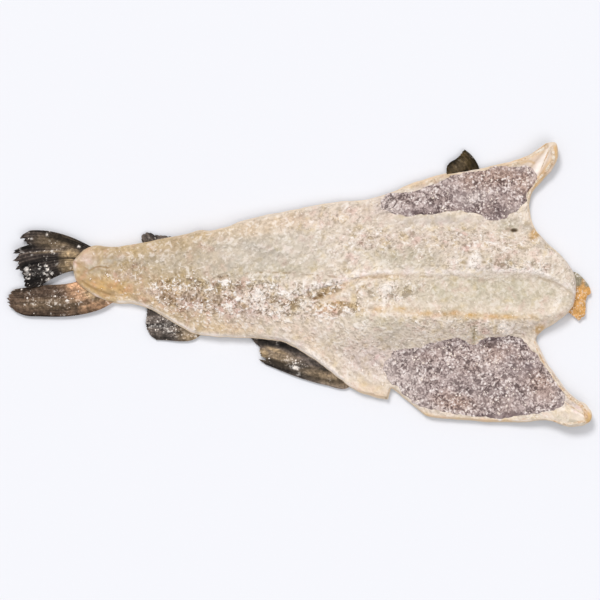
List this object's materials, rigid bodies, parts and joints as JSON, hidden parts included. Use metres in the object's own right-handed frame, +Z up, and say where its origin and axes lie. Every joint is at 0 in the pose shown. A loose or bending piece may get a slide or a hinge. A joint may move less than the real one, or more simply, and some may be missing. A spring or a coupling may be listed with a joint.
{
  "type": "salted dried cod",
  "caption": "Whole cod split along the belly, laid open flat, salted and dried, with fins and tail on and the head off.",
  "frame": {"origin": "middle of the fish's footprint, on the surface that it lies on", "axes": "+X along the fish from the tail fin to the head end, +Y towards the upper flap, +Z up through the thickness, flesh side up"},
  "size_m": [0.6495, 0.3171, 0.0322],
  "materials": {
    "cured_flesh": "dry, matt to satin, cream to straw flesh with faint muscle lines",
    "cured_skin": "dried olive-grey skin, mottled, with a pale lateral line",
    "belly_lining": "dried grey-purple lining under a crust of salt",
    "dried_fin": "dried black-brown membrane over fin rays",
    "collar_bone": "dry cream bone and gristle with orange edges",
    "curing_salt": "white translucent crystals"
  },
  "bodies": {
    "root": {"salted_cod": "cured_flesh"}
  },
  "joints": []
}
